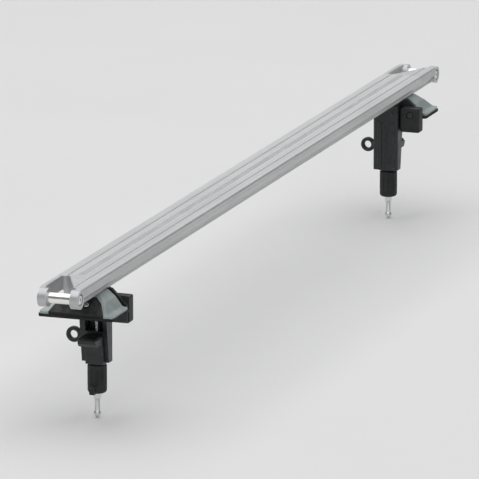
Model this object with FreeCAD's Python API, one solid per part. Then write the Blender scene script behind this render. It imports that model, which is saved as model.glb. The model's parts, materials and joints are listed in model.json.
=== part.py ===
"""Truck-bed cargo bar: an extruded crossbar with cast tie-down ends and a tower and clamp at each rail.

Frame, in millimetres: X runs along the bar (across the truck), -Y faces the tailgate, +Z is up. The origin
is at the bar's middle, on the plane of the rail tops. One end is built at +X, the far end, and mirrored for
the near end.
"""

import FreeCAD, Part
import math
import os

V = FreeCAD.Vector
X_AXIS = V(1, 0, 0)
Y_AXIS = V(0, 1, 0)
Z_AXIS = V(0, 0, 1)

# Driving dimensions of the bar
BAR_LENGTH = 1727.0
BAR_WIDTH = 68.0
BAR_HEIGHT = 28.0
RAIL_TO_BAR = 33.0
CAP_LENGTH = 104.0
SIDE_HEIGHT = 14.0
FOOT_WIDTH = 48.0
FOOT_HEIGHT = 5.0
EDGE_ROUND = 2.5
WALL = 2.6
FLOOR_WALL = 3.0
FLANK_WALL_RISE = 1.0

# T-slots: one on top for accessories, one underneath for the towers
SLOT_MOUTH = 10.0
SLOT_CHAMBER = 19.0
SLOT_LIP = 4.0
LOWER_CHAMBER_HEIGHT = 8.0
UPPER_LIP = 2.6
UPPER_CHAMBER_HEIGHT = 6.0
TOP_GROOVE_OFFSET = 18.0
TOP_GROOVE_WIDTH = 1.4
TOP_GROOVE_DEPTH = 0.9
INFILL_FIT = 0.4
INFILL_CHAMBER_FIT = 1.2
INFILL_SKIN = 2.2
INFILL_VALLEY_OFFSET = 1.8
INFILL_VALLEY_HALF = 0.5

# Tie-down end
ROD_DIAMETER = 16.0
LUG_RADIUS = 14.0
LUG_THICKNESS = 13.0
ARM_THICKNESS = 8.5
ARM_INSET = 9.0
ARM_CURVE_LENGTH = 45.0
SOCKET_DEPTH = 4.0
RIM_BEVEL = 1.0
PLUG_LENGTH = 22.0
PLUG_GAP = 0.2
LUG_RECESS_RADIUS = 9.0
LUG_RECESS_DEPTH = 4.5
ROD_SCREW_GRIP = 12.0
ROD_SCREW_CLEARANCE = 4.2
CAP_SCREW_OFFSET = 17.0
CAP_SCREW_RADIUS = 2.0
CAP_SCREW_HEAD = 4.7
CAP_SCREW_LENGTH = 13.0

# Plan of the tie-down opening: distances inboard of the bar's end and back from its front edge
OPENING_THROAT = 99.0
OPENING_SHOULDER = (97.0, 19.0)
OPENING_HEEL = 29.0
OPENING_LUG_ROOT = 25.0
OPENING_CORNER_RADIUS = 5.0
PAST_END = 3.0

# Tower
TOWER_FROM_END = 120.0
TOWER_INBOARD = 27.0
TOWER_TOP_OUTBOARD = 8.0
TOWER_BASE_OUTBOARD = 38.0
TOWER_TOP_WIDTH = 52.0
TOWER_BASE_WIDTH = 96.0
TOWER_FOOT_WIDTH = 116.0
PLATE = 4.0
PAD_THICKNESS = 4.0
FOLD_RADIUS = 3.0
FOOT_CORNER_RADIUS = 5.0
SLOT_BOLT_OFFSET = 9.5
SLOT_BOLT_SPACING = 18.0
SLOT_BOLT_HEAD = 15.0
SLOT_BOLT_HEAD_HEIGHT = 5.0
NUT_ACROSS_FLATS = 13.0
NUT_FLANGE_RADIUS = 8.2
NUT_FLANGE_HEIGHT = 1.6
NUT_HEIGHT = 8.0
NUT_POCKET_RADIUS = 9.6
NUT_POCKET_ROOF = 7.0
COVER_THICKNESS = 2.5
COVER_SCREW_Y = -12.0
COVER_SCREW_Z = 19.0
COVER_BOSS_RADIUS = 6.0
PAD_OVERHANG = 1.5
GAP = 0.3

# Clamp
CLAMP_PLATE = 5.0
CORE_INBOARD = 33.0
ARM_DEPTH = 27.0
ARM_FRONT = 23.0
ARM_REAR = -20.0
ARM_TAPER = 9.0
ARM_TAPER_TOP = -25.0
ARM_TOP = 28.0
ARM_BOTTOM = -85.0
CHANNEL_TOP = -11.0
CHANNEL_HALF = 14.5
CHANNEL_BACK = 5.5
RIB_OFFSET = 11.0
RIB_WIDTH = 8.0
RIB_PROUD = 2.2
VALLEY_RADIUS = 3.0
PLATE_TAB_Y = -54.0
STOP_Y = -38.5
STOP_HALF_WIDTH = 17.0
STOP_REACH = 18.0
STOP_BOTTOM = -20.0
STOP_TOP = 21.0
STOP_SCREW_Z = 9.0
STOP_SEAT_DEPTH = 3.0
STUD_OFFSET = 50.0
STUD_DIAMETER = 8.0
STUD_NUT_HEIGHT = 6.5
STUD_NUT_POCKET = 9.0
STUD_TOP = 26.0
STUD_BALL = 11.0
STUD_BALL_Z = -164.0
LIP_THICKNESS = 41.0
JAW_BOTTOM = -87.0
JAW_TOP = -37.0
TOE_THICKNESS = 10.0
TOE_SETBACK = 6.0
JAW_PAD = 3.0
WASHER_RADIUS = 9.0
WASHER_THICKNESS = 2.0
GRIP_DIAMETER = 29.0
GRIP_LENGTH = 43.0
GRIP_FLUTES = 10
WING_REACH = 25.0
WING_THICKNESS = 7.0
WING_HEIGHT = 11.0
NECK_LENGTH = 9.0
EYE_OUTER = 24.0
EYE_HOLE = 12.0
EYE_THICKNESS = 8.0
EYE_Z = -46.0
EYE_SHANK_RADIUS = 4.0
EYE_COLLAR_RADIUS = 6.5
ARM_BOLT_SPREAD = 30.0
ARM_BOLT_Z = 13.0
ARM_BOLT_SINK = 1.2
ARM_BOLT_CLEARANCE = 3.4

# Screws: shank radius, head radius, head height and socket across flats
ROD_SCREW = (3.3, 7.5, 4.0, 5.5)
COVER_SCREW = (1.6, 3.8, 2.4, 2.6)
STOP_SCREW = (2.5, 5.4, 3.0, 3.4)
ARM_BOLT = (3.0, 5.2, 3.3, 4.0)

# Derived places
BAR_BOTTOM = RAIL_TO_BAR
BAR_TOP = BAR_BOTTOM + BAR_HEIGHT
HALF_BAR = BAR_WIDTH / 2
BAR_END = BAR_LENGTH / 2
CAP_FACE = BAR_END - CAP_LENGTH
ROD_X = BAR_END - LUG_RADIUS
ROD_Z = BAR_TOP - LUG_RADIUS
TOWER_X = BAR_END - TOWER_FROM_END
CORE_FACE_X = TOWER_X - CORE_INBOARD
ARM_FACE_X = CORE_FACE_X - CLAMP_PLATE
ARM_BACK_X = ARM_FACE_X - ARM_DEPTH
STUD_X = TOWER_X - STUD_OFFSET
TOE_TOP = -LIP_THICKNESS - JAW_PAD
WASHER_BOTTOM = JAW_BOTTOM - WASHER_THICKNESS
GRIP_TOP = WASHER_BOTTOM - 0.2
GRIP_BOTTOM = GRIP_TOP - GRIP_LENGTH
NECK_BOTTOM = GRIP_BOTTOM - NECK_LENGTH
COVER_FACE_X = TOWER_X + TOWER_BASE_OUTBOARD
FOOT_TOP = PAD_THICKNESS + PLATE


def block(x0, x1, y0, y1, z0, z1):
    """Box between two corners."""
    return Part.makeBox(x1 - x0, y1 - y0, z1 - z0, V(x0, y0, z0))


def rod(radius, start, end):
    """Cylinder from one point to another."""
    line = end.sub(start)
    return Part.makeCylinder(radius, line.Length, start, line)


def polygon(points):
    """Flat face inside a closed outline of points."""
    return Part.Face(Part.makePolygon(points + [points[0]]))


def across(points, x0, x1):
    """Prism along X from an outline of (y, z) points."""
    return polygon([V(x0, y, z) for y, z in points]).extrude(V(x1 - x0, 0, 0))


def sideways(points, y0, y1):
    """Prism along Y from an outline of (x, z) points."""
    return polygon([V(x, y0, z) for x, z in points]).extrude(V(0, y1 - y0, 0))


def mirrored_outline(half):
    """Closed (y, z) outline from its +Y half, listed from the top down."""
    return half + [(-y, z) for y, z in reversed(half)]


def edges_where(shape, test):
    """Edges whose middle point passes a test."""
    found = []
    for edge in shape.Edges:
        middle = edge.valueAt((edge.FirstParameter + edge.LastParameter) / 2)
        if test(edge, middle):
            found.append(edge)
    return found


def is_along(edge, axis):
    """True for a straight edge along an axis."""
    if not isinstance(edge.Curve, (Part.Line, Part.LineSegment)):
        return False
    return abs(edge.tangentAt(edge.FirstParameter).dot(axis)) > 0.999


def rounded_block(x0, x1, y0, y1, z0, z1, radius, axis):
    """Box with its four edges along one axis rounded."""
    body = block(x0, x1, y0, y1, z0, z1)
    return body.makeFillet(radius, edges_where(body, lambda edge, middle: is_along(edge, axis)))


def hexagon_prism(across_flats, start, end):
    """Hexagonal bar from one point to another, along a row axis."""
    line = end.sub(start)
    upright = abs(line.z) > 0.5 * line.Length
    across_line = X_AXIS if upright else line.cross(Z_AXIS).normalize()
    second = line.cross(across_line).normalize()
    radius = across_flats / math.sqrt(3)
    corners = []
    for i in range(6):
        angle = math.radians(60 * i + 30)
        corners.append(start + across_line * (radius * math.cos(angle)) + second * (radius * math.sin(angle)))
    return polygon(corners).extrude(line)


def socket_screw(tip, head_seat, shank_radius, head_radius, head_height, socket):
    """Button-head screw from its tip to the seat under its head, with a hexagonal socket of that size."""
    out = V(head_seat.sub(tip)).normalize()
    shank = rod(shank_radius, tip, head_seat)
    head_end = head_seat + out * head_height
    head = rod(head_radius, head_seat, head_end)
    rim = edges_where(head, lambda edge, middle: edge.Length > 6 * head_radius
                      and abs(edge.CenterOfMass.sub(head_end).dot(out)) < 0.01)
    head = head.makeFillet(head_height * 0.45, rim)
    drive = hexagon_prism(socket, head_end - out * head_height * 0.6, head_end + out)
    return shank.fuse(head).cut(drive).removeSplitter()


# The bar -------------------------------------------------------------------------------------------


def bar_outline():
    """Outer section of the bar: flat top, upright sides, undercut flanks and a narrower foot."""
    side_bottom = BAR_TOP - SIDE_HEIGHT
    half = [
        (HALF_BAR - EDGE_ROUND, BAR_TOP),
        (HALF_BAR - EDGE_ROUND * 0.3, BAR_TOP - EDGE_ROUND * 0.3),
        (HALF_BAR, BAR_TOP - EDGE_ROUND),
        (HALF_BAR, side_bottom),
        (FOOT_WIDTH / 2, BAR_BOTTOM + FOOT_HEIGHT),
        (FOOT_WIDTH / 2, BAR_BOTTOM),
    ]
    return mirrored_outline(half)


def side_chamber(inset):
    """Outline of the +Y hollow of the bar's section, shrunk by an inset."""
    inner = SLOT_CHAMBER / 2 + WALL + inset
    outer = HALF_BAR - WALL - inset
    foot = FOOT_WIDTH / 2 - WALL - inset
    top = BAR_TOP - WALL - TOP_GROOVE_DEPTH - inset
    bottom = BAR_BOTTOM + FLOOR_WALL + inset
    knee = BAR_TOP - SIDE_HEIGHT + inset
    flank = BAR_BOTTOM + FOOT_HEIGHT + FLANK_WALL_RISE + inset
    return [(inner, top), (outer, top), (outer, knee), (foot, flank), (foot, bottom), (inner, bottom)]


def flipped(outline):
    """Outline carried to the other side of the bar's middle plane."""
    return [(-y, z) for y, z in outline]


def lower_slot():
    """Section of the slot underneath, mouth and chamber."""
    lip_top = BAR_BOTTOM + SLOT_LIP
    chamber_top = lip_top + LOWER_CHAMBER_HEIGHT
    half = [
        (SLOT_CHAMBER / 2, chamber_top),
        (SLOT_CHAMBER / 2, lip_top),
        (SLOT_MOUTH / 2, lip_top),
        (SLOT_MOUTH / 2, BAR_BOTTOM - 1),
    ]
    return mirrored_outline(half)


def upper_slot():
    """Section of the accessory slot on top, mouth and chamber."""
    lip_bottom = BAR_TOP - UPPER_LIP
    chamber_bottom = lip_bottom - UPPER_CHAMBER_HEIGHT
    half = [
        (SLOT_MOUTH / 2, BAR_TOP + 1),
        (SLOT_MOUTH / 2, lip_bottom),
        (SLOT_CHAMBER / 2, lip_bottom),
        (SLOT_CHAMBER / 2, chamber_bottom),
    ]
    return mirrored_outline(half)


def groove(start, end, middle, half_width, depth):
    """Groove along the top between two stations."""
    return block(start, end, middle - half_width, middle + half_width, BAR_TOP - depth, BAR_TOP + 1)


def top_grooves(start, end):
    """Fine decorative grooves along the top."""
    return [groove(start, end, side * TOP_GROOVE_OFFSET, TOP_GROOVE_WIDTH / 2, TOP_GROOVE_DEPTH)
            for side in (-1, 1)]


def cap_screw_places():
    """Screws that hold an end cap's plugs, one under each side hollow, at the far end."""
    return [(CAP_FACE - PLUG_LENGTH / 2, side * CAP_SCREW_OFFSET) for side in (-1, 1)]


def countersunk_hole(x, y):
    """Clearance for a countersunk screw driven up into the bar."""
    clearance = CAP_SCREW_RADIUS + 0.7
    hole = rod(clearance, V(x, y, BAR_BOTTOM - 1), V(x, y, BAR_BOTTOM + 2 * FLOOR_WALL))
    cone = Part.makeCone(CAP_SCREW_HEAD + 0.5, clearance, 2.6, V(x, y, BAR_BOTTOM), Z_AXIS)
    return hole.fuse(cone)


def bar_extrusion():
    bar = across(bar_outline(), -CAP_FACE, CAP_FACE)
    sections = [side_chamber(0), flipped(side_chamber(0)), lower_slot(), upper_slot()]
    hollows = [across(section, -CAP_FACE, CAP_FACE) for section in sections]
    holes = []
    for x, y in cap_screw_places():
        holes.append(countersunk_hole(x, y))
        holes.append(countersunk_hole(-x, y))
    return bar.cut(hollows + top_grooves(-CAP_FACE, CAP_FACE) + holes)


def top_infill():
    """Soft strip that closes the accessory slot, with two shallow ribs on its face."""
    lip_bottom = BAR_TOP - UPPER_LIP
    mouth = SLOT_MOUTH / 2 - INFILL_FIT
    chamber = SLOT_CHAMBER / 2 - INFILL_CHAMBER_FIT
    flange_top = lip_bottom - 0.2
    half = [(mouth, BAR_TOP), (mouth, flange_top), (chamber, flange_top), (chamber, flange_top - INFILL_SKIN)]
    strip = across(mirrored_outline(half), -CAP_FACE, CAP_FACE)
    for side in (-1, 1):
        middle = side * INFILL_VALLEY_OFFSET
        strip = strip.cut(groove(-CAP_FACE, CAP_FACE, middle, INFILL_VALLEY_HALF, INFILL_VALLEY_HALF))
    return strip


# Tie-down ends -------------------------------------------------------------------------------------


def cap_point(inboard, from_front):
    """Plan point of the end cap, given its distances from the bar's end and from the front edge."""
    return V(BAR_END - inboard, HALF_BAR - from_front, 0)


def curve_from_front(radius, inboard):
    """Distance from the front edge of an arc about the front arm's centre of curvature."""
    centre = arm_curve_radius()
    return centre - math.sqrt(radius ** 2 - (ARM_CURVE_LENGTH - inboard) ** 2)


def arm_curve_radius():
    """Radius of the front arm's outer edge, which leaves the straight edge and moves in by its inset."""
    return (ARM_CURVE_LENGTH ** 2 + ARM_INSET ** 2) / (2 * ARM_INSET)


def arc_to_end(radius, thickness, last):
    """Arc edge of the front arm from its straight part to a distance inboard of the end."""
    points = []
    for inboard in (ARM_CURVE_LENGTH, (ARM_CURVE_LENGTH + last) / 2, last):
        from_front = thickness if inboard == ARM_CURVE_LENGTH else curve_from_front(radius, inboard)
        points.append(cap_point(inboard, from_front))
    return Part.Arc(*points).toShape(), points[0], points[2]


def cap_plan():
    """Plan of the whole end cap: straight rear edge, front edge curving in to the end."""
    arc, start, end = arc_to_end(arm_curve_radius(), 0.0, 0.0)
    face_front = cap_point(CAP_LENGTH, 0)
    face_rear = cap_point(CAP_LENGTH, BAR_WIDTH)
    end_rear = cap_point(0, BAR_WIDTH)
    edges = [Part.makeLine(face_front, start), arc, Part.makeLine(end, end_rear),
             Part.makeLine(end_rear, face_rear), Part.makeLine(face_rear, face_front)]
    face = Part.Face(Part.Wire(edges))
    face.translate(V(0, 0, BAR_BOTTOM - 1))
    return face.extrude(V(0, 0, BAR_HEIGHT + 2))


def cap_opening():
    """Plan of the tie-down opening: the front arm's inner edge, a slanted body edge and the rear lug."""
    lug_face = BAR_WIDTH - LUG_THICKNESS + 2
    inner_radius = arm_curve_radius() - ARM_THICKNESS
    arc, start, end = arc_to_end(inner_radius, ARM_THICKNESS, -PAST_END)
    throat = cap_point(OPENING_THROAT, ARM_THICKNESS)
    shoulder = cap_point(*OPENING_SHOULDER)
    heel = cap_point(OPENING_HEEL, lug_face - 6)
    lug_root = cap_point(OPENING_LUG_ROOT, lug_face)
    lug_end = cap_point(-PAST_END, lug_face)
    corners = [start, throat, shoulder, heel, lug_root, lug_end, end]
    edges = [Part.makeLine(a, b) for a, b in zip(corners, corners[1:])] + [arc]
    face = Part.Face(Part.Wire(edges))
    face.translate(V(0, 0, BAR_BOTTOM - 2))
    opening = face.extrude(V(0, 0, BAR_HEIGHT + 4))
    inner = (throat, shoulder, heel, lug_root)
    upright = edges_where(opening, lambda edge, middle: is_along(edge, Z_AXIS)
                          and any(V(middle.x, middle.y, 0).sub(p).Length < 0.1 for p in inner))
    return opening.makeFillet(OPENING_CORNER_RADIUS, upright)


def flared_rim(opening):
    """Short flare that bevels the opening's upper edge."""
    top = max(opening.Faces, key=lambda face: face.CenterOfMass.z)
    height = top.CenterOfMass.z
    outline = Part.Wire(Part.sortEdges(top.OuterWire.Edges)[0])
    low = outline.copy()
    low.translate(V(0, 0, BAR_TOP - RIM_BEVEL - height))
    high = Part.Face(outline).makeOffset2D(2 * RIM_BEVEL, 2).OuterWire
    high.translate(V(0, 0, BAR_TOP + RIM_BEVEL - height))
    return Part.makeLoft([low, high], True)


def rounded_end():
    """Side view of the cap: full height inboard, half-round at the end."""
    straight = block(CAP_FACE, ROD_X, -HALF_BAR - 1, HALF_BAR + 1, BAR_BOTTOM, BAR_TOP)
    nose = rod(LUG_RADIUS, V(ROD_X, -HALF_BAR - 1, ROD_Z), V(ROD_X, HALF_BAR + 1, ROD_Z))
    return straight.fuse(nose)


def front_lug_outer():
    """Y of the flat outer face of the front lug, just inside the arm's curved edge."""
    return HALF_BAR - curve_from_front(arm_curve_radius(), LUG_RADIUS) - 1.0


def lug_bosses():
    """The two round lugs that hold the rod."""
    outer = front_lug_outer()
    front = rod(LUG_RADIUS, V(ROD_X, outer - LUG_THICKNESS, ROD_Z), V(ROD_X, outer, ROD_Z))
    rear = rod(LUG_RADIUS, V(ROD_X, -HALF_BAR, ROD_Z), V(ROD_X, -HALF_BAR + LUG_THICKNESS, ROD_Z))
    return front, rear


def rod_ends():
    """Y of the rod's front and rear ends, sunk in the lugs."""
    return front_lug_outer() - LUG_THICKNESS + SOCKET_DEPTH, -HALF_BAR + LUG_THICKNESS - SOCKET_DEPTH


def end_cap():
    opening = cap_opening()
    body = across(bar_outline(), CAP_FACE, BAR_END)
    body = body.common(cap_plan()).common(rounded_end()).cut([opening, flared_rim(opening)])
    body = body.cut(top_grooves(CAP_FACE, ROD_X - LUG_RADIUS - OPENING_CORNER_RADIUS))
    front, rear = lug_bosses()
    body = body.fuse([front, rear])
    front_end, rear_end = rod_ends()
    front_seat, rear_seat = rod_screw_seats()
    beyond = HALF_BAR + 1
    cuts = [
        rod(ROD_DIAMETER / 2 + 0.05, V(ROD_X, rear_end, ROD_Z), V(ROD_X, front_end, ROD_Z)),
        rod(ROD_SCREW_CLEARANCE, V(ROD_X, -beyond, ROD_Z), V(ROD_X, beyond, ROD_Z)),
        rod(LUG_RECESS_RADIUS, V(ROD_X, front_seat, ROD_Z), V(ROD_X, beyond, ROD_Z)),
        rod(LUG_RECESS_RADIUS, V(ROD_X, -beyond, ROD_Z), V(ROD_X, rear_seat, ROD_Z)),
    ]
    body = body.cut(cuts).removeSplitter()
    for outline in (side_chamber(PLUG_GAP), flipped(side_chamber(PLUG_GAP))):
        body = body.fuse(across(outline, CAP_FACE - PLUG_LENGTH, CAP_FACE))
    hole_top = BAR_BOTTOM + CAP_SCREW_LENGTH + 1
    for x, y in cap_screw_places():
        body = body.cut(rod(CAP_SCREW_RADIUS, V(x, y, BAR_BOTTOM), V(x, y, hole_top)))
    return body.removeSplitter()


def tie_down_rod():
    front_end, rear_end = rod_ends()
    bar = rod(ROD_DIAMETER / 2, V(ROD_X, rear_end, ROD_Z), V(ROD_X, front_end, ROD_Z))
    rims = edges_where(bar, lambda edge, middle: edge.Length > 40 and not is_along(edge, Y_AXIS))
    bar = bar.makeChamfer(0.6, rims)
    radius = ROD_SCREW[0]
    depth = ROD_SCREW_GRIP + 2
    bores = [
        rod(radius, V(ROD_X, rear_end - 1, ROD_Z), V(ROD_X, rear_end + depth, ROD_Z)),
        rod(radius, V(ROD_X, front_end - depth, ROD_Z), V(ROD_X, front_end + 1, ROD_Z)),
    ]
    return bar.cut(bores)


def rod_screw_seats():
    """Y of the seats under the rod's screw heads, sunk in the lugs' outer faces."""
    return front_lug_outer() - LUG_RECESS_DEPTH, -HALF_BAR + LUG_RECESS_DEPTH


def rod_screws():
    """Button-head screws through the lugs into both ends of the rod."""
    front_end, rear_end = rod_ends()
    front_seat, rear_seat = rod_screw_seats()
    return [
        socket_screw(V(ROD_X, front_end - ROD_SCREW_GRIP, ROD_Z), V(ROD_X, front_seat, ROD_Z), *ROD_SCREW),
        socket_screw(V(ROD_X, rear_end + ROD_SCREW_GRIP, ROD_Z), V(ROD_X, rear_seat, ROD_Z), *ROD_SCREW),
    ]


def cap_screws():
    """Countersunk screws up into the cap's plugs."""
    screws = []
    for x, y in cap_screw_places():
        shank = rod(CAP_SCREW_RADIUS, V(x, y, BAR_BOTTOM + 0.2), V(x, y, BAR_BOTTOM + CAP_SCREW_LENGTH))
        head = Part.makeCone(CAP_SCREW_HEAD, CAP_SCREW_RADIUS, 2.7, V(x, y, BAR_BOTTOM + 0.2), Z_AXIS)
        drive = rod(1.5, V(x, y, BAR_BOTTOM), V(x, y, BAR_BOTTOM + 2))
        screws.append(shank.fuse(head).cut(drive).removeSplitter())
    return screws


# Tower ---------------------------------------------------------------------------------------------


def tower_wedge(grow):
    """Side view of the tower: upright inboard, sloping outwards outboard, grown by an amount."""
    inboard = TOWER_X - TOWER_INBOARD - grow
    top = TOWER_X + TOWER_TOP_OUTBOARD + grow
    base = COVER_FACE_X + grow
    points = [(inboard, BAR_BOTTOM), (top, BAR_BOTTOM), (base, FOOT_TOP), (base, 0), (inboard, 0)]
    return sideways(points, -TOWER_FOOT_WIDTH / 2 - 1, TOWER_FOOT_WIDTH / 2 + 1)


def bracket_profile():
    """Outer and inner outlines of the folded bracket: top plate, two-slope sides, feet turned outwards."""
    top = TOWER_TOP_WIDTH / 2
    base = TOWER_BASE_WIDTH / 2
    foot = TOWER_FOOT_WIDTH / 2
    bend_y = (top + base) / 2 + 1.5
    bend_z = (BAR_BOTTOM + FOOT_TOP) / 2 + 2
    outer = [
        (top, BAR_BOTTOM),
        (bend_y, bend_z),
        (base, FOOT_TOP + 1.5),
        (base + 2, FOOT_TOP),
        (foot, FOOT_TOP),
        (foot, PAD_THICKNESS),
    ]
    level_plate = PLATE * 1.15
    inner = [
        (top - 2.5, BAR_BOTTOM - PLATE),
        (bend_y - level_plate, bend_z - 0.6),
        (base - level_plate, FOOT_TOP - 0.5),
        (base - level_plate - 0.6, PAD_THICKNESS),
    ]
    return outer, inner


def core_outline():
    """The bracket's inner outline, shrunk by the fit around what stands inside it."""
    _, inner = bracket_profile()
    return mirrored_outline([(y - GAP, z - GAP if z > PAD_THICKNESS else z) for y, z in inner])


def tower_bracket():
    outer, inner = bracket_profile()
    inboard = TOWER_X - TOWER_INBOARD
    shell = across(mirrored_outline(outer), inboard, COVER_FACE_X)
    folds = edges_where(shell, lambda edge, middle: is_along(edge, X_AXIS) and middle.z > FOOT_TOP + 1)
    shell = shell.makeFillet(FOLD_RADIUS, folds)
    hollow = across(mirrored_outline(inner), inboard - 1, COVER_FACE_X + 1)
    bolt_hole = STUD_DIAMETER / 2 + GAP
    holes = [rod(bolt_hole, V(x, 0, BAR_BOTTOM - PLATE - 1), V(x, 0, BAR_BOTTOM + 1))
             for x in slot_bolt_places()]
    bracket = shell.cut(hollow).common(tower_wedge(0)).cut(holes).removeSplitter()
    foot_corners = edges_where(bracket, lambda edge, middle: is_along(edge, Z_AXIS)
                               and abs(middle.y) > TOWER_FOOT_WIDTH / 2 - 0.1)
    return bracket.makeFillet(FOOT_CORNER_RADIUS, foot_corners)


def slot_bolt_places():
    """X of the two bolts that hang the tower from the bar's lower slot."""
    middle = TOWER_X - SLOT_BOLT_OFFSET
    return [middle - SLOT_BOLT_SPACING / 2, middle + SLOT_BOLT_SPACING / 2]


def tower_core():
    """Casting that fills the bracket and takes the clamp's bolts."""
    core = across(core_outline(), CORE_FACE_X, COVER_FACE_X)
    under_cover = tower_wedge(-COVER_THICKNESS - 1)
    inboard_half = block(CORE_FACE_X, TOWER_X, -HALF_BAR * 2, HALF_BAR * 2, PAD_THICKNESS, BAR_BOTTOM)
    core = core.common(under_cover.fuse(inboard_half))
    cuts = []
    for x in slot_bolt_places():
        cuts.append(rod(STUD_DIAMETER / 2 + 0.5, V(x, 0, 0), V(x, 0, BAR_BOTTOM)))
        cuts.append(rod(NUT_POCKET_RADIUS, V(x, 0, 0), V(x, 0, BAR_BOTTOM - PLATE - NUT_POCKET_ROOF)))
    for y in arm_bolt_places():
        deep = V(CORE_FACE_X + 22, y, ARM_BOLT_Z)
        cuts.append(rod(ARM_BOLT[0] + 0.05, V(CORE_FACE_X - 1, y, ARM_BOLT_Z), deep))
    cuts.append(rod(COVER_SCREW[0] + 0.05, cover_screw_point(-14), cover_screw_point(1)))
    return core.cut(cuts).removeSplitter()


def cover_screw_point(out):
    """Point on the axis of the cover's screw, at a distance out from the tower's sloping end."""
    run = TOWER_BASE_OUTBOARD - TOWER_TOP_OUTBOARD
    rise = BAR_BOTTOM - FOOT_TOP
    face_x = TOWER_X + TOWER_TOP_OUTBOARD + run * (BAR_BOTTOM - COVER_SCREW_Z) / rise
    square_out = V(rise, 0, run).normalize()
    return V(face_x, COVER_SCREW_Y, COVER_SCREW_Z) + square_out * out


def end_cover():
    """Moulded cover over the core's outboard end, with a boss for its screw."""
    solid = across(core_outline(), TOWER_X, COVER_FACE_X)
    behind = tower_wedge(-COVER_THICKNESS - 0.8)
    cover = solid.common(tower_wedge(-0.6)).cut(behind)
    boss = rod(COVER_BOSS_RADIUS, cover_screw_point(-1), cover_screw_point(1))
    hole = rod(COVER_SCREW[0] + GAP, cover_screw_point(-10), cover_screw_point(10))
    seat = rod(COVER_SCREW[1] + 0.4, cover_screw_point(-0.6), cover_screw_point(10))
    return cover.fuse(boss).cut([hole, seat]).removeSplitter()


def cover_screw():
    return socket_screw(cover_screw_point(-12), cover_screw_point(-0.6), *COVER_SCREW)


def base_pad():
    """Rubber pad between the tower and the rail, with rounded corners and reliefs under the slot nuts."""
    half_width = TOWER_FOOT_WIDTH / 2 + PAD_OVERHANG
    pad = rounded_block(CORE_FACE_X + 0.5, COVER_FACE_X + PAD_OVERHANG, -half_width, half_width,
                        0, PAD_THICKNESS, 6.0, Z_AXIS)
    reliefs = [rod(NUT_POCKET_RADIUS + 0.5, V(x, 0, 1), V(x, 0, PAD_THICKNESS + 1))
               for x in slot_bolt_places()]
    return pad.cut(reliefs)


def slot_bolts():
    """Square-headed bolts that slide in the lower slot."""
    bolts = []
    seat = BAR_BOTTOM + SLOT_LIP + 0.1
    head_top = seat + SLOT_BOLT_HEAD_HEIGHT
    half = SLOT_BOLT_HEAD / 2
    for x in slot_bolt_places():
        head = block(x - half, x + half, -half, half, seat, head_top)
        head = head.makeFillet(1.0, edges_where(head, lambda edge, middle: middle.z > head_top - 0.1))
        shank = rod(STUD_DIAMETER / 2, V(x, 0, 10), V(x, 0, seat))
        bolts.append(head.fuse(shank).removeSplitter())
    return bolts


def slot_nuts():
    """Flange nuts that clamp the core up against the bracket, inside the core's pockets."""
    nuts = []
    top = BAR_BOTTOM - PLATE - NUT_POCKET_ROOF - 0.1
    flange_bottom = top - NUT_FLANGE_HEIGHT
    for x in slot_bolt_places():
        flange = rod(NUT_FLANGE_RADIUS, V(x, 0, flange_bottom), V(x, 0, top))
        body = hexagon_prism(NUT_ACROSS_FLATS, V(x, 0, top - NUT_HEIGHT), V(x, 0, flange_bottom))
        bore = rod(STUD_DIAMETER / 2 + 0.05, V(x, 0, top - NUT_HEIGHT - 1), V(x, 0, top + 1))
        nuts.append(flange.fuse(body).cut(bore).removeSplitter())
    return nuts


# Clamp ---------------------------------------------------------------------------------------------


def arm_bolt_places():
    """Y of the two bolts that join the clamp's arm to the tower's core."""
    middle = (ARM_FRONT + ARM_REAR) / 2
    return [middle - ARM_BOLT_SPREAD / 2, middle + ARM_BOLT_SPREAD / 2]


def clamp_plate():
    """Steel plate between core and arm; its rear tab hangs inside the rail."""
    rail_gap = 0.5
    tab_bottom = STOP_BOTTOM + 2
    top = BAR_BOTTOM - 0.6
    points = [
        (ARM_FRONT, top),
        (ARM_FRONT + 4, ARM_TOP - 14),
        (ARM_FRONT + 8, rail_gap),
        (ARM_REAR, rail_gap),
        (ARM_REAR, tab_bottom),
        (PLATE_TAB_Y, tab_bottom),
        (PLATE_TAB_Y, FOOT_TOP),
        (ARM_REAR - 10, top),
    ]
    plate = across(points, ARM_FACE_X, CORE_FACE_X)
    before = ARM_FACE_X - 1
    after = CORE_FACE_X + 1
    holes = [rod(ARM_BOLT_CLEARANCE, V(before, y, ARM_BOLT_Z), V(after, y, ARM_BOLT_Z))
             for y in arm_bolt_places()]
    holes.append(rod(STOP_SCREW[0] + 0.1, V(before, STOP_Y, STOP_SCREW_Z), V(after, STOP_Y, STOP_SCREW_Z)))
    return plate.cut(holes)


def rail_stop():
    """Moulded block on the plate's rear tab, beside the arm."""
    inboard = ARM_FACE_X - STOP_REACH
    stop = rounded_block(inboard, ARM_FACE_X, STOP_Y - STOP_HALF_WIDTH, STOP_Y + STOP_HALF_WIDTH,
                         STOP_BOTTOM, STOP_TOP, 3.0, X_AXIS)
    rim = edges_where(stop, lambda edge, middle: abs(middle.x - inboard) < 0.01)
    stop = stop.makeFillet(1.8, rim)
    before = V(inboard - 2, STOP_Y, STOP_SCREW_Z)
    hole = rod(STOP_SCREW[0] + 0.2, before, V(ARM_FACE_X + 1, STOP_Y, STOP_SCREW_Z))
    seat = rod(STOP_SCREW[1] + 0.8, before, V(inboard + STOP_SEAT_DEPTH, STOP_Y, STOP_SCREW_Z))
    return stop.cut([hole, seat])


def stop_screw():
    seat = V(ARM_FACE_X - STOP_REACH + STOP_SEAT_DEPTH, STOP_Y, STOP_SCREW_Z)
    return socket_screw(V(CORE_FACE_X - 0.4, STOP_Y, STOP_SCREW_Z), seat, *STOP_SCREW)


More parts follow.
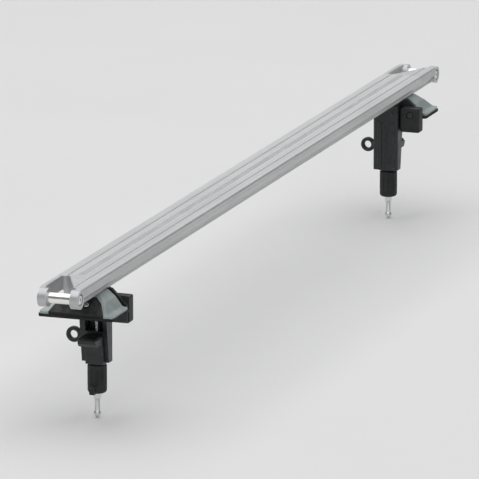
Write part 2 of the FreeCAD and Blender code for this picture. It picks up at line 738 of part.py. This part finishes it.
def clamp_arm():
    """Channel that hangs inside the rail: solid head, three-sided guide for the jaw, ribs on its face."""
    arm = block(ARM_BACK_X, ARM_FACE_X, ARM_REAR, ARM_FRONT, ARM_BOTTOM, ARM_TOP)
    back_corners = edges_where(arm, lambda edge, middle: is_along(edge, Z_AXIS)
                               and abs(middle.x - ARM_BACK_X) < 0.01)
    arm = arm.makeFillet(5.0, back_corners)
    top_rim = edges_where(arm, lambda edge, middle: abs(middle.z - ARM_TOP) < 0.01
                          and middle.x < ARM_FACE_X - 1)
    arm = arm.makeFillet(4.0, top_rim)
    ribs = []
    for side in (-1, 1):
        near = side * RIB_OFFSET - RIB_WIDTH / 2
        ribs.append(rounded_block(ARM_BACK_X - RIB_PROUD, ARM_BACK_X + 3, near, near + RIB_WIDTH,
                                  ARM_BOTTOM + 4, -4, 2.0, Z_AXIS))
    valley_x = ARM_BACK_X - VALLEY_RADIUS / 2
    above = ARM_TOP + 1
    beyond = ARM_BACK_X - 2 * RIB_PROUD
    taper = [
        (ARM_FACE_X, ARM_TAPER_TOP),
        (ARM_FACE_X + 1, ARM_TAPER_TOP),
        (ARM_FACE_X + 1, ARM_BOTTOM - 1),
        (ARM_FACE_X - ARM_TAPER, ARM_BOTTOM - 1),
    ]
    cuts = [
        rod(VALLEY_RADIUS, V(valley_x, 0, ARM_BOTTOM - 1), V(valley_x, 0, -6)),
        block(ARM_BACK_X + CHANNEL_BACK, ARM_FACE_X + 1, -CHANNEL_HALF, CHANNEL_HALF,
              ARM_BOTTOM - 1, CHANNEL_TOP),
        sideways(taper, ARM_REAR - 1, ARM_FRONT + 1),
        rod(STUD_DIAMETER / 2, V(STUD_X, 0, CHANNEL_TOP - 1), V(STUD_X, 0, above)),
        rod(8.2, V(STUD_X, 0, ARM_TOP - STUD_NUT_POCKET), V(STUD_X, 0, above)),
        rod(EYE_SHANK_RADIUS + 0.05, V(STUD_X, CHANNEL_HALF - 1, EYE_Z), V(STUD_X, ARM_FRONT + 1, EYE_Z)),
    ]
    for y in arm_bolt_places():
        start = V(beyond, y, ARM_BOLT_Z)
        cuts.append(rod(ARM_BOLT_CLEARANCE, start, V(ARM_FACE_X + 1, y, ARM_BOLT_Z)))
        cuts.append(rod(ARM_BOLT[1] + 0.5, start, V(ARM_BACK_X + ARM_BOLT_SINK, y, ARM_BOLT_Z)))
    return arm.fuse(ribs).cut(cuts).removeSplitter()


def arm_bolts():
    """Two bolts through arm and plate into the core, with round washer heads."""
    bolts = []
    for y in arm_bolt_places():
        tip = V(CORE_FACE_X + 20, y, ARM_BOLT_Z)
        seat = V(ARM_BACK_X + ARM_BOLT_SINK, y, ARM_BOLT_Z)
        bolts.append(socket_screw(tip, seat, *ARM_BOLT))
    return bolts


def clamp_stud():
    """Threaded stud that the grip runs on, with a ball at its lower end so that the grip can't come off."""
    stud = rod(STUD_DIAMETER / 2, V(STUD_X, 0, STUD_BALL_Z), V(STUD_X, 0, STUD_TOP))
    ball = Part.makeSphere(STUD_BALL / 2, V(STUD_X, 0, STUD_BALL_Z))
    return stud.fuse(ball).removeSplitter()


def stud_nut():
    """Nut that holds the stud in the head of the arm."""
    low = ARM_TOP - STUD_NUT_POCKET
    high = low + STUD_NUT_HEIGHT
    nut = hexagon_prism(NUT_ACROSS_FLATS, V(STUD_X, 0, low), V(STUD_X, 0, high))
    return nut.cut(rod(STUD_DIAMETER / 2, V(STUD_X, 0, low - 1), V(STUD_X, 0, high + 1)))


def tie_down_eye():
    """Forged eye screwed into the front wall of the arm."""
    eye_y = ARM_FRONT + EYE_OUTER / 2 + 1.0
    low = STUD_X - EYE_THICKNESS / 2
    high = STUD_X + EYE_THICKNESS / 2
    ring = rod(EYE_OUTER / 2, V(low, eye_y, EYE_Z), V(high, eye_y, EYE_Z))
    ring = ring.cut(rod(EYE_HOLE / 2, V(low - 1, eye_y, EYE_Z), V(high + 1, eye_y, EYE_Z)))
    ring = ring.makeFillet(2.2, edges_where(ring, lambda edge, middle: edge.Length > 20
                                            and not is_along(edge, X_AXIS)))
    collar = rod(EYE_COLLAR_RADIUS, V(STUD_X, ARM_FRONT, EYE_Z), V(STUD_X, ARM_FRONT + 3.5, EYE_Z))
    collar = collar.cut(rod(EYE_HOLE / 2 + 1, V(low - 5, eye_y, EYE_Z), V(high + 5, eye_y, EYE_Z)))
    shank = rod(EYE_SHANK_RADIUS, V(STUD_X, CHANNEL_HALF + 0.2, EYE_Z), V(STUD_X, ARM_FRONT, EYE_Z))
    return ring.fuse([collar, shank]).removeSplitter()


def clamp_jaw():
    """Slider in the arm's channel, with a toe that reaches outwards under the rail's lip."""
    half = jaw_half_width()
    slider = block(ARM_BACK_X + CHANNEL_BACK + GAP, ARM_FACE_X - 0.5, -half, half, JAW_BOTTOM, JAW_TOP)
    toe_root = ARM_FACE_X - 1
    toe_tip = TOWER_X - TOE_SETBACK
    toe_low = TOE_TOP - TOE_THICKNESS
    bevel = TOE_THICKNESS / 2
    toe_points = [
        (toe_root, TOE_TOP),
        (toe_tip, TOE_TOP),
        (toe_tip, TOE_TOP - bevel),
        (toe_tip - bevel, toe_low),
        (ARM_FACE_X + 8, toe_low),
        (toe_root, toe_low - 18),
    ]
    toe = sideways(toe_points, -half, half)
    return slider.fuse(toe).cut(stud_clearance(JAW_BOTTOM, JAW_TOP)).removeSplitter()


def jaw_half_width():
    """Half the jaw's width, clear of the channel's side walls."""
    return CHANNEL_HALF - GAP


def stud_clearance(bottom, top):
    """Clearance hole round the stud, through a piece between two heights."""
    return rod(STUD_DIAMETER / 2 + 0.4, V(STUD_X, 0, bottom - 1), V(STUD_X, 0, top + 1))


def jaw_pad():
    """Rubber pad on the toe."""
    half = jaw_half_width() - 1
    return rounded_block(ARM_FACE_X + 2, TOWER_X - TOE_SETBACK - 1, -half, half,
                         TOE_TOP, TOE_TOP + JAW_PAD, 3.0, Z_AXIS)


def thrust_washer():
    """Washer between the jaw and the turning grip."""
    disc = rod(WASHER_RADIUS, V(STUD_X, 0, WASHER_BOTTOM), V(STUD_X, 0, JAW_BOTTOM))
    return disc.cut(stud_clearance(WASHER_BOTTOM, JAW_BOTTOM))


def rims_near(shape, height):
    """Round edges of an upright shape at a height."""
    return edges_where(shape, lambda edge, middle: edge.Length > 30 and abs(middle.z - height) < 0.5
                       and not is_along(edge, Z_AXIS))


def grip_sleeve():
    """Fluted hand grip with one thumb wing at its lower end."""
    radius = GRIP_DIAMETER / 2
    sleeve = rod(radius, V(STUD_X, 0, GRIP_BOTTOM), V(STUD_X, 0, GRIP_TOP))
    sleeve = sleeve.makeFillet(5.0, rims_near(sleeve, GRIP_BOTTOM))
    sleeve = sleeve.makeFillet(1.5, rims_near(sleeve, GRIP_TOP))
    wing_bottom = GRIP_BOTTOM + 1
    wing_top = wing_bottom + WING_HEIGHT
    wing = rounded_block(STUD_X + 6, STUD_X + WING_REACH, -WING_THICKNESS / 2, WING_THICKNESS / 2,
                         wing_bottom, wing_top, 3.0, Y_AXIS)
    flutes = []
    flute_radius = 2.2
    flute_circle = radius + flute_radius / 2
    for i in range(GRIP_FLUTES):
        angle = 2 * math.pi * (i + 0.5) / GRIP_FLUTES
        x = STUD_X + flute_circle * math.cos(angle)
        y = flute_circle * math.sin(angle)
        flutes.append(rod(flute_radius, V(x, y, wing_top + 1), V(x, y, GRIP_TOP - 4)))
    bore = hexagon_prism(NUT_ACROSS_FLATS + 0.2, V(STUD_X, 0, GRIP_BOTTOM - 1), V(STUD_X, 0, GRIP_TOP + 1))
    return sleeve.cut(flutes).fuse(wing).cut(bore).removeSplitter()


def grip_nut():
    """Long threaded nut inside the grip; its lower end shows below it."""
    neck_top = GRIP_BOTTOM + 1
    body = hexagon_prism(NUT_ACROSS_FLATS, V(STUD_X, 0, neck_top), V(STUD_X, 0, GRIP_TOP))
    neck = rod(6.0, V(STUD_X, 0, NECK_BOTTOM), V(STUD_X, 0, neck_top))
    neck = neck.makeChamfer(1.2, rims_near(neck, NECK_BOTTOM))
    bore = rod(STUD_DIAMETER / 2 + 0.05, V(STUD_X, 0, NECK_BOTTOM - 1), V(STUD_X, 0, GRIP_TOP + 1))
    return body.fuse(neck).cut(bore).removeSplitter()


# Writing the parts ---------------------------------------------------------------------------------


def to_near(shape):
    """Mirror image at the near end."""
    return shape.mirror(V(0, 0, 0), X_AXIS)


def as_list(shapes):
    return shapes if isinstance(shapes, list) else [shapes]


def save(name, shapes):
    """Write one node as a STEP file, as one solid or as a group of separate solids."""
    solids = [solid for shape in as_list(shapes) for solid in shape.Solids]
    result = solids[0] if len(solids) == 1 else Part.makeCompound(solids)
    result.exportStep(f"parts/{name}.step")
    valid = all(solid.isValid() for solid in solids)
    volume = sum(solid.Volume for solid in solids)
    print(f"{name}: {len(solids)} solid, valid {valid}, {volume:.0f} mm3")


def main():
    os.makedirs("parts", exist_ok=True)
    save("bar_extrusion", bar_extrusion())
    save("top_infill", top_infill())
    for maker in (rod_screws, cap_screws):
        far = maker()
        save(maker.__name__, far + [to_near(shape) for shape in far])
    end_makers = [
        end_cap, tie_down_rod, tower_bracket, tower_core, end_cover, cover_screw, base_pad, slot_bolts,
        slot_nuts, clamp_plate, rail_stop, stop_screw, clamp_arm, arm_bolts, clamp_stud, stud_nut,
        tie_down_eye, clamp_jaw, jaw_pad, thrust_washer, grip_sleeve, grip_nut,
    ]
    for maker in end_makers:
        far = as_list(maker())
        save(f"{maker.__name__}_far", far)
        save(f"{maker.__name__}_near", [to_near(shape) for shape in far])


main()
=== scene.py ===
import json
import math

import bmesh
import bpy
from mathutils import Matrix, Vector


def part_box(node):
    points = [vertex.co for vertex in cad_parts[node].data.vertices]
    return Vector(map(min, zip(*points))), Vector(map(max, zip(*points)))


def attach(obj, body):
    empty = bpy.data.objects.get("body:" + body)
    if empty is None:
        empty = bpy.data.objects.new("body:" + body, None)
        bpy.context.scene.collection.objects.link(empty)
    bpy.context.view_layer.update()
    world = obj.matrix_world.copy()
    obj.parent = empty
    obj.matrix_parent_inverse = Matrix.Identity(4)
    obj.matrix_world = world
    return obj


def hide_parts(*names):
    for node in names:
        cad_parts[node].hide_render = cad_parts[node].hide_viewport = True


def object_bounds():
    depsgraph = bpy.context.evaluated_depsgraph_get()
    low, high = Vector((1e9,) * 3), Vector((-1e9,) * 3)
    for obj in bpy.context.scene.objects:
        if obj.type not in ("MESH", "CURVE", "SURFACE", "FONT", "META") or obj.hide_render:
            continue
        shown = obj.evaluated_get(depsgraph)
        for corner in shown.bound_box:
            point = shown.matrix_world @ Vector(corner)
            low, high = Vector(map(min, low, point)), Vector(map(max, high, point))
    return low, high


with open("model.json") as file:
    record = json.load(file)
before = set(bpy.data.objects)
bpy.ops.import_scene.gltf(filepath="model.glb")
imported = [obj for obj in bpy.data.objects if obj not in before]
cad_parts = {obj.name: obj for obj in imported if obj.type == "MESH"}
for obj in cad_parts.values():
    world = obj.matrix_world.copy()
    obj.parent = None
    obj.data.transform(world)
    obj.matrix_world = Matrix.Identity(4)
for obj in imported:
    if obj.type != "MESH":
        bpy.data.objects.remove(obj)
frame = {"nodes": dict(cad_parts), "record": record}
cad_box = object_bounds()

ENDS = ("far", "near")
NODES = frame["nodes"]

# Camera: a long lens from above and outside one end of the bar.
CAMERA_PLACE = (-9.4209, -3.2914, 2.2924)
CAMERA_YAW = math.radians(19.37)
CAMERA_PITCH = math.radians(13.23)
CAMERA_LENS = 489.0
SENSOR_WIDTH = 36.0
CAMERA_REACH = 100.0

# Studio: area lights, each with its name, place, target, size and power in watts, over a pale matt floor.
LIGHTS = (
    ("overhead", (0.5, 0.4, 6.0), (0.5, 0.4, 0), (14.0, 12.0), 760),
    ("beyond_far_end", (9.0, 3.2, 2.4), (0, 0, 0), (9.0, 4.0), 90),
    ("beyond_near_end", (-6.0, -1.0, 2.0), (-0.8, 0, 0), (2.5, 1.5), 45),
)
WORLD_COLOUR = (0.92, 0.94, 0.97, 1.0)
WORLD_STRENGTH = 0.16
FLOOR_SIZE = 60
FLOOR_GAP = 0.001
FLOOR_ROUGHNESS = 0.85

# Sockets of Blender's Mix node that carry colours.
MIX_FIRST_COLOUR = 6
MIX_SECOND_COLOUR = 7
MIX_RESULT_COLOUR = 2

# Edges: the extrusion and its strip keep the die's own. The end caps and clamp arms are the roundest.
SHARP_NODES = ["bar_extrusion", "top_infill"]
ROUND_NODES = [f"{part}_{end}" for part in ("end_cap", "clamp_arm") for end in ENDS]
OTHER_NODES = [name for name in NODES if name not in SHARP_NODES + ROUND_NODES]
MACHINED_EDGE = 0.0004
MACHINED_SEGMENTS = 2
ROUND_EDGE = 0.0009
ROUND_SEGMENTS = 3
EDGE_ANGLE = math.radians(38)

# Edge wear, which in the clamp paint also serves as a painted highlight on the ridges: how closely the
# bevelled normal follows the true one on a flat face and on a worn edge, and the range of noise that
# breaks the wear and that painted highlight up.
WEAR_AND_HIGHLIGHT_SAMPLES = 6
FLAT_FACE = 0.99
WORN_AND_HIGHLIT_EDGE = 0.86
WEAR_AND_HIGHLIGHT_PATCHES = (0.45, 0.62)

# Dust and scuffs: the upward part of a face's normal where they start and where they are thickest.
UPWARD_STARTS = 0.2
UPWARD_THICKEST = 0.95

# Stud: an M8 thread and the ball at its foot.
THREAD_PITCH = 0.00125
THREAD_DEPTH = 0.00065
THREAD_STEPS = 5
STUD_RADIUS = 0.004
STUD_SIDES = 24
BALL_RINGS = 12


# Materials -----------------------------------------------------------------------------------------


class Paint:
    """A procedural material under construction, with short names for the nodes it uses."""

    def __init__(self, name, metallic=0.0, specular=0.5):
        self.material = bpy.data.materials.new(name)
        self.material.use_nodes = True
        self.tree = self.material.node_tree
        self.shader = self.tree.nodes["Principled BSDF"]
        self.shader.inputs["Metallic"].default_value = metallic
        self.shader.inputs["Specular IOR Level"].default_value = specular
        self.place = self.tree.nodes.new("ShaderNodeTexCoord").outputs["Object"]
        self.last_bump = None

    def link(self, source, target):
        self.tree.links.new(source, target)

    def node(self, kind, **settings):
        made = self.tree.nodes.new(kind)
        for key, value in settings.items():
            setattr(made, key, value)
        return made

    def stretched(self, scale):
        """Object coordinates scaled along each axis."""
        mapping = self.node("ShaderNodeMapping")
        mapping.inputs["Scale"].default_value = scale
        self.link(self.place, mapping.inputs["Vector"])
        return mapping.outputs["Vector"]

    def noise(self, scale, detail=4.0, roughness=0.55):
        """Noise in cycles per metre, given as one number or as one for each axis."""
        if not isinstance(scale, tuple):
            scale = (scale, scale, scale)
        made = self.node("ShaderNodeTexNoise")
        made.inputs["Scale"].default_value = 1.0
        made.inputs["Detail"].default_value = detail
        made.inputs["Roughness"].default_value = roughness
        self.link(self.stretched(scale), made.inputs["Vector"])
        return made.outputs["Fac"]

    def spread(self, source, low, high, out_low=0.0, out_high=1.0):
        """Carries a value from one range to another, held inside it."""
        made = self.node("ShaderNodeMapRange")
        made.inputs["From Min"].default_value = low
        made.inputs["From Max"].default_value = high
        made.inputs["To Min"].default_value = out_low
        made.inputs["To Max"].default_value = out_high
        self.link(source, made.inputs["Value"])
        return made.outputs["Result"]

    def product(self, first, second):
        made = self.node("ShaderNodeMath", operation="MULTIPLY")
        self.link(first, made.inputs[0])
        self.link(second, made.inputs[1])
        return made.outputs[0]

    def mix(self, amount, first, second):
        """Blend of two colours, each a colour or a node's output."""
        made = self.node("ShaderNodeMix", data_type="RGBA")
        self.link(amount, made.inputs[0])
        for socket, value in ((MIX_FIRST_COLOUR, first), (MIX_SECOND_COLOUR, second)):
            if isinstance(value, tuple):
                made.inputs[socket].default_value = (*value, 1.0)
            else:
                self.link(value, made.inputs[socket])
        return made.outputs[MIX_RESULT_COLOUR]

    def colour(self, source):
        self.link(source, self.shader.inputs["Base Color"])

    def roughness(self, source):
        self.link(source, self.shader.inputs["Roughness"])

    def bump(self, source, strength, distance):
        made = self.node("ShaderNodeBump")
        made.inputs["Strength"].default_value = strength
        made.inputs["Distance"].default_value = distance
        self.link(source, made.inputs["Height"])
        if self.last_bump is not None:
            self.link(self.last_bump, made.inputs["Normal"])
        self.last_bump = made.outputs["Normal"]
        self.link(self.last_bump, self.shader.inputs["Normal"])

    def facing_up(self):
        """1 on surfaces that face up, 0 on walls and on those that face down."""
        split = self.node("ShaderNodeSeparateXYZ")
        self.link(self.node("ShaderNodeNewGeometry").outputs["Normal"], split.inputs["Vector"])
        return self.spread(split.outputs["Z"], UPWARD_STARTS, UPWARD_THICKEST)

    def edge_wear_and_highlight(self, radius, noise_scale):
        """1 on worn edges, broken up by noise; the clamp paint uses the same mask for its painted
        highlight on the ridges.
        """
        bevel = self.node("ShaderNodeBevel")
        bevel.samples = WEAR_AND_HIGHLIGHT_SAMPLES
        bevel.inputs["Radius"].default_value = radius
        dot = self.node("ShaderNodeVectorMath", operation="DOT_PRODUCT")
        self.link(bevel.outputs["Normal"], dot.inputs[0])
        self.link(self.node("ShaderNodeNewGeometry").outputs["Normal"], dot.inputs[1])
        edge = self.spread(dot.outputs["Value"], FLAT_FACE, WORN_AND_HIGHLIT_EDGE)
        broken = self.spread(self.noise(noise_scale, 6.0, 0.65), *WEAR_AND_HIGHLIGHT_PATCHES)
        return self.product(edge, broken)


def bar_aluminium():
    """Satin anodised extrusion: die lines along the bar, uneven tone, and scuffs on top."""
    paint = Paint("bar_aluminium", metallic=0.5)
    lines = paint.noise((1.6, 1900, 1900), 5.0, 0.6)
    bands = paint.noise((0.4, 210, 210), 3.0, 0.6)
    cloud = paint.noise((3.5, 24, 24), 4.0)
    scuff = paint.spread(paint.noise((420, 30, 60), 8.0, 0.72), 0.60, 0.72)
    base = paint.mix(paint.spread(lines, 0.3, 0.7), (0.41, 0.415, 0.42), (0.56, 0.562, 0.565))
    base = paint.mix(paint.spread(bands, 0.35, 0.65, 0.0, 0.45), base, (0.70, 0.705, 0.71))
    base = paint.mix(paint.spread(cloud, 0.42, 0.75, 0.0, 0.35), base, (0.40, 0.41, 0.41))
    base = paint.mix(paint.product(scuff, paint.facing_up()), base, (0.72, 0.72, 0.71))
    paint.colour(base)
    paint.roughness(paint.spread(cloud, 0.3, 0.75, 0.30, 0.46))
    paint.bump(lines, 0.25, 0.00012)
    paint.bump(scuff, 0.12, 0.0001)
    return paint.material


def cast_aluminium():
    """Silver powder coat over a casting: fine grain, slight waves, rubbed edges."""
    paint = Paint("cast_aluminium", metallic=0.5)
    grain = paint.noise(2600, 3.0, 0.6)
    cast = paint.noise(240, 4.0)
    cloud = paint.noise(30, 3.0)
    base = paint.mix(paint.spread(grain, 0.3, 0.7), (0.46, 0.465, 0.47), (0.58, 0.585, 0.59))
    base = paint.mix(paint.spread(cloud, 0.4, 0.7, 0.0, 0.3), base, (0.42, 0.425, 0.43))
    base = paint.mix(paint.edge_wear_and_highlight(0.0012, 300), base, (0.93, 0.93, 0.92))
    paint.colour(base)
    paint.roughness(paint.spread(cloud, 0.3, 0.7, 0.34, 0.48))
    paint.bump(cast, 0.15, 0.0004)
    paint.bump(grain, 0.2, 0.0001)
    return paint.material


def polished_steel():
    """Stainless cross rod, brushed round and rubbed bright by hooks."""
    paint = Paint("polished_steel", metallic=1.0)
    rings = paint.noise((160, 2400, 160), 4.0)
    rub = paint.noise((500, 90, 500), 6.0, 0.7)
    base = paint.mix(paint.spread(rings, 0.3, 0.7), (0.88, 0.87, 0.84), (0.96, 0.95, 0.93))
    paint.colour(base)
    paint.roughness(paint.spread(rub, 0.35, 0.7, 0.14, 0.32))
    paint.bump(rings, 0.12, 0.00008)
    return paint.material


def infill_rubber():
    """Pale grey soft strip, unevenly dusty and finely pored."""
    paint = Paint("infill_rubber", specular=0.3)
    dust = paint.noise((25, 120, 120), 6.0, 0.65)
    pores = paint.noise(2200, 2.0)
    paint.colour(paint.mix(paint.spread(dust, 0.35, 0.7), (0.46, 0.462, 0.465), (0.56, 0.56, 0.555)))
    paint.roughness(paint.spread(pores, 0.3, 0.7, 0.62, 0.82))
    paint.bump(pores, 0.3, 0.00015)
    return paint.material


def tower_paint():
    """Grey-green satin paint on folded steel, orange-peeled and chipped at its edges."""
    paint = Paint("tower_paint", metallic=0.35)
    peel = paint.noise(900, 2.0)
    cloud = paint.noise(45, 5.0)
    base = paint.mix(paint.spread(cloud, 0.35, 0.7), (0.33, 0.38, 0.37), (0.43, 0.48, 0.47))
    base = paint.mix(paint.edge_wear_and_highlight(0.0008, 520), base, (0.62, 0.63, 0.62))
    paint.colour(base)
    paint.roughness(paint.spread(cloud, 0.3, 0.7, 0.36, 0.52))
    paint.bump(peel, 0.2, 0.00015)
    return paint.material


def clamp_paint():
    """Black satin powder coat: fine orange peel, grey-green rubs on the edges made bright enough to be a
    painted highlight on the ridges, dust on upward faces.
    """
    paint = Paint("clamp_paint")
    peel = paint.noise(1500, 2.0)
    cloud = paint.noise(60, 5.0)
    base = paint.mix(paint.spread(cloud, 0.35, 0.7), (0.010, 0.014, 0.015), (0.022, 0.028, 0.029))
    dust = paint.product(paint.facing_up(), paint.spread(cloud, 0.35, 0.65))
    base = paint.mix(dust, base, (0.07, 0.07, 0.066))
    # Painted highlight: the bright grey-green on the edges stands in for the highlights on the arm's
    # ridges, on top of real rubs to the paint.
    base = paint.mix(paint.edge_wear_and_highlight(0.0009, 480), base, (0.20, 0.23, 0.225))
    paint.colour(base)
    paint.roughness(paint.spread(cloud, 0.3, 0.7, 0.32, 0.5))
    paint.bump(peel, 0.3, 0.00018)
    return paint.material


def moulded_plastic():
    """Black glass-filled nylon with a fine spark-eroded grain, and dust on upward faces."""
    paint = Paint("moulded_plastic", specular=0.45)
    grain = paint.noise(3200, 3.0, 0.7)
    cloud = paint.noise(80, 5.0)
    base = paint.mix(paint.spread(cloud, 0.35, 0.7), (0.008, 0.009, 0.010), (0.018, 0.019, 0.019))
    dust = paint.product(paint.facing_up(), paint.spread(cloud, 0.4, 0.62))
    base = paint.mix(dust, base, (0.06, 0.06, 0.056))
    paint.colour(base)
    paint.roughness(paint.spread(grain, 0.3, 0.7, 0.48, 0.66))
    paint.bump(grain, 0.35, 0.00012)
    return paint.material


def black_rubber():
    """Matt black rubber with a soft bloom."""
    paint = Paint("black_rubber", specular=0.3)
    bloom = paint.noise((70, 70, 140), 5.0)
    skin = paint.noise(1800, 3.0)
    paint.colour(paint.mix(paint.spread(bloom, 0.4, 0.7), (0.012, 0.012, 0.012), (0.035, 0.035, 0.034)))
    paint.roughness(paint.spread(skin, 0.3, 0.7, 0.7, 0.88))
    paint.bump(skin, 0.35, 0.00018)
    return paint.material


def zinc_steel():
    """Zinc-plated fasteners: cool grey and slightly mottled, with a fine grain."""
    paint = Paint("zinc_steel", metallic=1.0)
    mottle = paint.noise(320, 5.0, 0.65)
    fine = paint.noise(2800, 2.0)
    base = paint.mix(paint.spread(mottle, 0.35, 0.7), (0.72, 0.73, 0.74), (0.88, 0.88, 0.86))
    paint.colour(base)
    paint.roughness(paint.spread(mottle, 0.3, 0.7, 0.24, 0.42))
    paint.bump(fine, 0.12, 0.0001)
    return paint.material


MATERIALS = {
    "bar_aluminium": bar_aluminium(),
    "cast_aluminium": cast_aluminium(),
    "rod_steel": polished_steel(),
    "infill_rubber": infill_rubber(),
    "tower_grey": tower_paint(),
    "clamp_black": clamp_paint(),
    "moulded_black": moulded_plastic(),
    "rubber_black": black_rubber(),
    "zinc_steel": zinc_steel(),
}


def dress_cad_nodes():
    """Gives every carried-over CAD node the finish of its slot in the record."""
    for part in frame["record"]["subparts"]:
        shown = NODES[part["node"]]
        shown.data.materials.clear()
        shown.data.materials.append(MATERIALS[part["material_slot"]])


def soften_edges(names, width, segments):
    """Rounds the sharp edges of CAD nodes with a bevel that leaves their own mesh as it is."""
    for name in names:
        bevel = NODES[name].modifiers.new("edge", "BEVEL")
        bevel.width = width
        bevel.segments = segments
        bevel.limit_method = "ANGLE"
        bevel.angle_limit = EDGE_ANGLE
        bevel.harden_normals = True


# Threaded studs ------------------------------------------------------------------------------------


def stud_radius(height, angle, foot, ball_radius):
    """Radius of the stud at a height and an angle: a thread above, and the ball at the foot."""
    from_ball = height - (foot + ball_radius)
    on_ball = math.sqrt(max(ball_radius ** 2 - from_ball ** 2, 0.0))
    phase = (height / THREAD_PITCH - angle / (2 * math.pi)) % 1.0
    on_thread = STUD_RADIUS - THREAD_DEPTH * abs(2 * phase - 1)
    return max(on_ball, on_thread) if from_ball > 0 else on_ball


def stud_heights(foot, top, ball_radius):
    """Heights of the stud's rings: close together on the thread, evenly turned round the ball."""
    heights = [foot + ball_radius * (1 - math.cos(math.pi * i / BALL_RINGS)) for i in range(1, BALL_RINGS)]
    step = THREAD_PITCH / THREAD_STEPS
    count = int((top - heights[-1]) / step)
    return heights + [heights[-1] + step * (i + 1) for i in range(count)]


def stud_ring(mesh, middle, height, foot, ball_radius):
    """The vertices round the stud at one height."""
    ring = []
    for i in range(STUD_SIDES):
        angle = 2 * math.pi * i / STUD_SIDES
        radius = stud_radius(height, angle, foot, ball_radius)
        place = (middle.x + radius * math.cos(angle), middle.y + radius * math.sin(angle), height)
        ring.append(mesh.verts.new(place))
    return ring


def stud_faces(mesh, rings, foot):
    """Faces between neighbouring rings, round the foot's one vertex and over the top."""
    for lower, upper in zip(rings, rings[1:]):
        for i in range(STUD_SIDES):
            j = (i + 1) % STUD_SIDES
            mesh.faces.new((lower[i], lower[j], upper[j], upper[i]))
    for i in range(STUD_SIDES):
        mesh.faces.new((foot, rings[0][(i + 1) % STUD_SIDES], rings[0][i]))
    mesh.faces.new(rings[-1])
    bmesh.ops.recalc_face_normals(mesh, faces=mesh.faces)
    for face in mesh.faces:
        face.smooth = True


def threaded_stud(end):
    """Stud with a real helical thread, standing where the CAD's plain one does."""
    node = f"clamp_stud_{end}"
    low, high = (Vector(corner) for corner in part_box(node))
    middle = (low + high) / 2
    ball_radius = (high.x - low.x) / 2
    mesh = bmesh.new()
    heights = stud_heights(low.z, high.z, ball_radius)
    rings = [stud_ring(mesh, middle, height, low.z, ball_radius) for height in heights]
    stud_faces(mesh, rings, mesh.verts.new((middle.x, middle.y, low.z)))
    data = bpy.data.meshes.new(f"threaded_stud_{end}")
    mesh.to_mesh(data)
    mesh.free()
    stud = bpy.data.objects.new(f"threaded_stud_{end}", data)
    bpy.context.scene.collection.objects.link(stud)
    data.materials.append(MATERIALS["zinc_steel"])
    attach(stud, f"tower_{end}")
    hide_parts(node)


# Studio --------------------------------------------------------------------------------------------


def floor_plane(level):
    bpy.ops.mesh.primitive_plane_add(size=FLOOR_SIZE, location=(0, 0, level))
    floor = bpy.context.object
    floor.name = "floor"
    paint = Paint("floor", specular=0.2)
    paint.colour(paint.mix(paint.noise(2), (0.70, 0.70, 0.695), (0.74, 0.74, 0.735)))
    paint.shader.inputs["Roughness"].default_value = FLOOR_ROUGHNESS
    floor.data.materials.append(paint.material)


def area_light(name, place, target, size, power):
    light = bpy.data.lights.new(name, "AREA")
    light.energy = power
    light.shape = "RECTANGLE"
    light.size, light.size_y = size
    holder = bpy.data.objects.new(name, light)
    holder.location = place
    aim = Vector(target) - Vector(place)
    holder.rotation_euler = aim.to_track_quat("-Z", "Y").to_euler()
    bpy.context.scene.collection.objects.link(holder)


def studio():
    world = bpy.data.worlds.new("studio")
    world.use_nodes = True
    background = world.node_tree.nodes["Background"]
    background.inputs["Color"].default_value = WORLD_COLOUR
    background.inputs["Strength"].default_value = WORLD_STRENGTH
    bpy.context.scene.world = world
    bpy.context.scene.view_settings.view_transform = "Standard"
    for light in LIGHTS:
        area_light(*light)


def camera():
    lens = bpy.data.cameras.new("camera")
    lens.sensor_width = SENSOR_WIDTH
    lens.lens = CAMERA_LENS
    lens.clip_end = CAMERA_REACH
    holder = bpy.data.objects.new("camera", lens)
    flat = math.cos(CAMERA_PITCH)
    ahead = Vector((math.cos(CAMERA_YAW) * flat, math.sin(CAMERA_YAW) * flat, -math.sin(CAMERA_PITCH)))
    holder.location = CAMERA_PLACE
    holder.rotation_euler = ahead.to_track_quat("-Z", "Y").to_euler()
    bpy.context.scene.collection.objects.link(holder)
    bpy.context.scene.camera = holder


camera()
studio()
floor_plane(cad_box[0][2] - FLOOR_GAP)
dress_cad_nodes()
soften_edges(OTHER_NODES, MACHINED_EDGE, MACHINED_SEGMENTS)
soften_edges(ROUND_NODES, ROUND_EDGE, ROUND_SEGMENTS)
for end in ENDS:
    threaded_stud(end)
